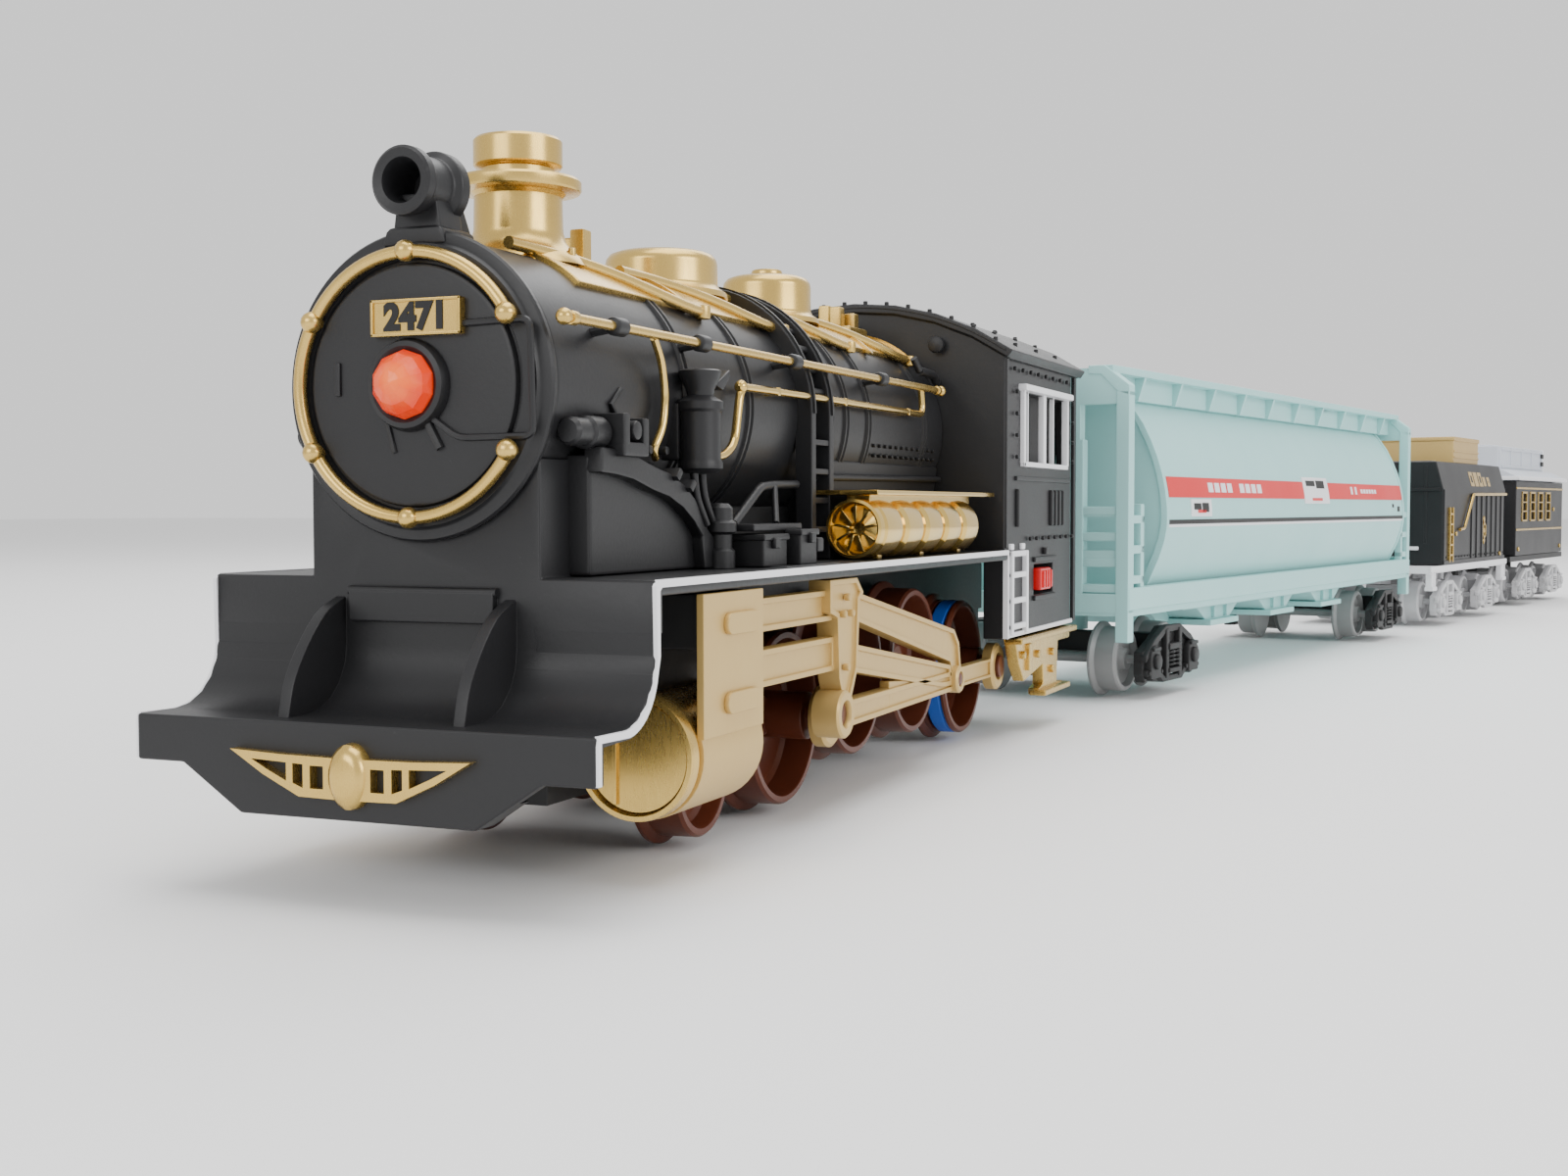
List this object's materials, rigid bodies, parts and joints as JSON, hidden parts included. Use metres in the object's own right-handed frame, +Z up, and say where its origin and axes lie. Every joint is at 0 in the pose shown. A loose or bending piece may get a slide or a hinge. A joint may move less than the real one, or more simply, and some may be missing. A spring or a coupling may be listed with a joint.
{
  "type": "toy train",
  "caption": "Toy steam locomotive with turning wheels and side rods, coupled to a hopper wagon, a tender and a coach on swivelling bogies.",
  "frame": {"origin": "middle of the train's plan at the lowest point of the wheel flanges", "axes": "+X from the buffer beam towards the last coach, along the locomotive; +Z up; the engine's left side faces -Y"},
  "size_m": [0.8288, 0.1736, 0.0932],
  "materials": {
    "black_plastic": "satin black moulded plastic",
    "gold_plate": "gold-plated moulded plastic",
    "tan_plastic": "pale gold sprayed plastic",
    "brown_plastic": "brown moulded plastic",
    "blue_rubber": "blue traction rubber",
    "red_lens": "lit red lamp lens",
    "red_plastic": "red switch knob",
    "aqua_plastic": "pale aqua moulded plastic",
    "grey_plastic": "grey moulded wheels",
    "silver_plastic": "silver-grey moulded plastic",
    "pale_plastic": "pale grey moulded plastic",
    "white_trim": "white and silver printed trim",
    "steel": "motor can"
  },
  "bodies": {
    "engine": {"loco_chassis": "black_plastic", "running_plate": "black_plastic", "boiler_shell": "black_plastic", "cab_shell": "black_plastic", "smokebox_door": "black_plastic", "door_ring": "gold_plate", "number_plate": "gold_plate", "lamp_lens": "red_lens", "front_badge": "gold_plate", "headlamp": "black_plastic", "chimney": "gold_plate", "dome_strip": "gold_plate", "handrail_left": "gold_plate", "handrail_right": "gold_plate", "air_tank_left": "gold_plate", "air_tank_right": "gold_plate", "valve_gear_left": "tan_plastic", "valve_gear_right": "tan_plastic", "motor_gearbox": "steel", "cab_step_left": "gold_plate", "cab_step_right": "gold_plate"},
    "driving_axle_1": {"driving_wheelset_1": "brown_plastic"},
    "driving_axle_2": {"driving_wheelset_2": "brown_plastic"},
    "driving_axle_3": {"driving_wheelset_3": "brown_plastic"},
    "driving_axle_4": {"driving_wheelset_4": "brown_plastic", "traction_tyre_left": "blue_rubber", "traction_tyre_right": "blue_rubber"},
    "left_side_rod": {"side_rod_left": "tan_plastic"},
    "right_side_rod": {"side_rod_right": "tan_plastic"},
    "pony_axle": {"pony_wheelset": "brown_plastic"},
    "power_switch": {"switch_knob": "red_plastic"},
    "hopper_link": {"hopper_drawbar": "black_plastic"},
    "hopper_wagon": {"hopper_frame": "aqua_plastic", "hopper_body": "aqua_plastic"},
    "hopper_front_bogie": {"hopper_front_bogie": "black_plastic"},
    "hopper_front_bogie_front_axle": {"hopper_front_bogie_front_wheelset": "grey_plastic"},
    "hopper_front_bogie_rear_axle": {"hopper_front_bogie_rear_wheelset": "grey_plastic"},
    "hopper_rear_bogie": {"hopper_rear_bogie": "black_plastic"},
    "hopper_rear_bogie_front_axle": {"hopper_rear_bogie_front_wheelset": "grey_plastic"},
    "hopper_rear_bogie_rear_axle": {"hopper_rear_bogie_rear_wheelset": "grey_plastic"},
    "tender_link": {"tender_drawbar": "black_plastic"},
    "tender": {"tender_frame": "pale_plastic", "tender_body": "black_plastic", "tender_load": "tan_plastic"},
    "tender_front_bogie": {"tender_front_bogie": "silver_plastic"},
    "tender_front_bogie_front_axle": {"tender_front_bogie_front_wheelset": "silver_plastic"},
    "tender_front_bogie_rear_axle": {"tender_front_bogie_rear_wheelset": "silver_plastic"},
    "tender_rear_bogie": {"tender_rear_bogie": "silver_plastic"},
    "tender_rear_bogie_front_axle": {"tender_rear_bogie_front_wheelset": "silver_plastic"},
    "tender_rear_bogie_rear_axle": {"tender_rear_bogie_rear_wheelset": "silver_plastic"},
    "coach_link": {"coach_drawbar": "black_plastic"},
    "coach": {"coach_frame": "black_plastic", "coach_body": "black_plastic", "coach_roof": "pale_plastic"},
    "coach_front_bogie": {"coach_front_bogie": "silver_plastic"},
    "coach_front_bogie_front_axle": {"coach_front_bogie_front_wheelset": "silver_plastic"},
    "coach_front_bogie_rear_axle": {"coach_front_bogie_rear_wheelset": "silver_plastic"},
    "coach_rear_bogie": {"coach_rear_bogie": "silver_plastic"},
    "coach_rear_bogie_front_axle": {"coach_rear_bogie_front_wheelset": "silver_plastic"},
    "coach_rear_bogie_rear_axle": {"coach_rear_bogie_rear_wheelset": "silver_plastic"}
  },
  "joints": [
    {"name": "driving_axle_4_spin", "type": "hinge", "parent": "engine", "child": "driving_axle_4", "pos_m": [-0.24323, 0.05485, 0.01425], "axis": [0, 1, 0], "continuous": true},
    {"name": "driving_axle_1_spin", "type": "hinge", "parent": "engine", "child": "driving_axle_1", "pos_m": [-0.33413, 0.05485, 0.01425], "axis": [0, 1, 0], "continuous": true},
    {"name": "driving_axle_2_spin", "type": "hinge", "parent": "engine", "child": "driving_axle_2", "pos_m": [-0.30383, 0.05485, 0.01785], "axis": [0, 1, 0], "continuous": true},
    {"name": "driving_axle_3_spin", "type": "hinge", "parent": "engine", "child": "driving_axle_3", "pos_m": [-0.27353, 0.05485, 0.01785], "axis": [0, 1, 0], "continuous": true},
    {"name": "left_side_rod_pin", "type": "hinge", "parent": "driving_axle_4", "child": "left_side_rod", "pos_m": [-0.24023, 0.05485, 0.01425], "axis": [0, 1, 0], "continuous": true},
    {"name": "right_side_rod_pin", "type": "hinge", "parent": "driving_axle_4", "child": "right_side_rod", "pos_m": [-0.24023, 0.05485, 0.01425], "axis": [0, 1, 0], "continuous": true},
    {"name": "pony_axle_spin", "type": "hinge", "parent": "engine", "child": "pony_axle", "pos_m": [-0.36303, 0.05485, 0.00925], "axis": [0, 1, 0], "continuous": true},
    {"name": "power_switch_slide", "type": "slide", "parent": "engine", "child": "power_switch", "axis": [1, 0, 0], "range_m": [0, 0.0044]},
    {"name": "hopper_link_swing", "type": "hinge", "parent": "engine", "child": "hopper_link", "pos_m": [-0.20703, 0.05485, 0.01175], "axis": [0, 0, 1], "range_deg": [-2.6, 33.4]},
    {"name": "hopper_draw_pin_swing", "type": "hinge", "parent": "hopper_link", "child": "hopper_wagon", "pos_m": [-0.16393, 0.04297, 0.01175], "axis": [0, 0, 1], "range_deg": [-23.6, 12.4]},
    {"name": "hopper_front_bogie_swivel", "type": "hinge", "parent": "hopper_wagon", "child": "hopper_front_bogie", "pos_m": [-0.13772, 0.03844, 0.01525], "axis": [0, 0, 1], "range_deg": [-12, 12]},
    {"name": "hopper_front_bogie_front_axle_spin", "type": "hinge", "parent": "hopper_front_bogie", "child": "hopper_front_bogie_front_axle", "pos_m": [-0.15053, 0.04065, 0.009], "axis": [0.1702, 0.9854, 0], "continuous": true},
    {"name": "hopper_front_bogie_rear_axle_spin", "type": "hinge", "parent": "hopper_front_bogie", "child": "hopper_front_bogie_rear_axle", "pos_m": [-0.12491, 0.03623, 0.009], "axis": [0.1702, 0.9854, 0], "continuous": true},
    {"name": "hopper_rear_bogie_swivel", "type": "hinge", "parent": "hopper_wagon", "child": "hopper_rear_bogie", "pos_m": [0.07148, 0.0023, 0.01525], "axis": [0, 0, 1], "range_deg": [-12, 12]},
    {"name": "hopper_rear_bogie_front_axle_spin", "type": "hinge", "parent": "hopper_rear_bogie", "child": "hopper_rear_bogie_front_axle", "pos_m": [0.05867, 0.00451, 0.009], "axis": [0.1702, 0.9854, 0], "continuous": true},
    {"name": "hopper_rear_bogie_rear_axle_spin", "type": "hinge", "parent": "hopper_rear_bogie", "child": "hopper_rear_bogie_rear_axle", "pos_m": [0.08429, 0.00009, 0.009], "axis": [0.1702, 0.9854, 0], "continuous": true},
    {"name": "tender_link_swing", "type": "hinge", "parent": "hopper_wagon", "child": "tender_link", "pos_m": [0.09484, -0.00173, 0.01175], "axis": [0, 0, 1], "range_deg": [-17.4, 18.6]},
    {"name": "tender_draw_pin_swing", "type": "hinge", "parent": "tender_link", "child": "tender", "pos_m": [0.1385, -0.00972, 0.01175], "axis": [0, 0, 1], "range_deg": [-17.2, 18.8]},
    {"name": "tender_front_bogie_swivel", "type": "hinge", "parent": "tender", "child": "tender_front_bogie", "pos_m": [0.16302, -0.01457, 0.01525], "axis": [0, 0, 1], "range_deg": [-12, 12]},
    {"name": "tender_front_bogie_front_axle_spin", "type": "hinge", "parent": "tender_front_bogie", "child": "tender_front_bogie_front_axle", "pos_m": [0.15027, -0.01205, 0.009], "axis": [0.1942, 0.981, 0], "continuous": true},
    {"name": "tender_front_bogie_rear_axle_spin", "type": "hinge", "parent": "tender_front_bogie", "child": "tender_front_bogie_rear_axle", "pos_m": [0.17577, -0.0171, 0.009], "axis": [0.1942, 0.981, 0], "continuous": true},
    {"name": "tender_rear_bogie_swivel", "type": "hinge", "parent": "tender", "child": "tender_rear_bogie", "pos_m": [0.22875, -0.02759, 0.01525], "axis": [0, 0, 1], "range_deg": [-12, 12]},
    {"name": "tender_rear_bogie_front_axle_spin", "type": "hinge", "parent": "tender_rear_bogie", "child": "tender_rear_bogie_front_axle", "pos_m": [0.21599, -0.02506, 0.009], "axis": [0.1942, 0.981, 0], "continuous": true},
    {"name": "tender_rear_bogie_rear_axle_spin", "type": "hinge", "parent": "tender_rear_bogie", "child": "tender_rear_bogie_rear_axle", "pos_m": [0.2415, -0.03011, 0.009], "axis": [0.1942, 0.981, 0], "continuous": true},
    {"name": "coach_link_swing", "type": "hinge", "parent": "tender", "child": "coach_link", "pos_m": [0.25719, -0.03322, 0.01175], "axis": [0, 0, 1], "range_deg": [-23, 13]},
    {"name": "coach_draw_pin_swing", "type": "hinge", "parent": "coach_link", "child": "coach", "pos_m": [0.30163, -0.03805, 0.01175], "axis": [0, 0, 1], "range_deg": [-12.2, 23.8]},
    {"name": "coach_front_bogie_swivel", "type": "hinge", "parent": "coach", "child": "coach_front_bogie", "pos_m": [0.32609, -0.04325, 0.01525], "axis": [0, 0, 1], "range_deg": [-12, 12]},
    {"name": "coach_front_bogie_front_axle_spin", "type": "hinge", "parent": "coach_front_bogie", "child": "coach_front_bogie_front_axle", "pos_m": [0.31337, -0.04055, 0.009], "axis": [0.2079, 0.9781, 0], "continuous": true},
    {"name": "coach_front_bogie_rear_axle_spin", "type": "hinge", "parent": "coach_front_bogie", "child": "coach_front_bogie_rear_axle", "pos_m": [0.3388, -0.04596, 0.009], "axis": [0.2079, 0.9781, 0], "continuous": true},
    {"name": "coach_rear_bogie_swivel", "type": "hinge", "parent": "coach", "child": "coach_rear_bogie", "pos_m": [0.38282, -0.05531, 0.01525], "axis": [0, 0, 1], "range_deg": [-12, 12]},
    {"name": "coach_rear_bogie_front_axle_spin", "type": "hinge", "parent": "coach_rear_bogie", "child": "coach_rear_bogie_front_axle", "pos_m": [0.3701, -0.05261, 0.009], "axis": [0.2079, 0.9781, 0], "continuous": true},
    {"name": "coach_rear_bogie_rear_axle_spin", "type": "hinge", "parent": "coach_rear_bogie", "child": "coach_rear_bogie_rear_axle", "pos_m": [0.39553, -0.05801, 0.009], "axis": [0.2079, 0.9781, 0], "continuous": true}
  ],
  "couplings": [
    {"joint": "driving_axle_1_spin", "follows": "driving_axle_4_spin", "ratio": 1},
    {"joint": "driving_axle_2_spin", "follows": "driving_axle_4_spin", "ratio": 1},
    {"joint": "driving_axle_3_spin", "follows": "driving_axle_4_spin", "ratio": 1},
    {"joint": "left_side_rod_pin", "follows": "driving_axle_4_spin", "ratio": -1},
    {"joint": "right_side_rod_pin", "follows": "driving_axle_4_spin", "ratio": -1}
  ]
}
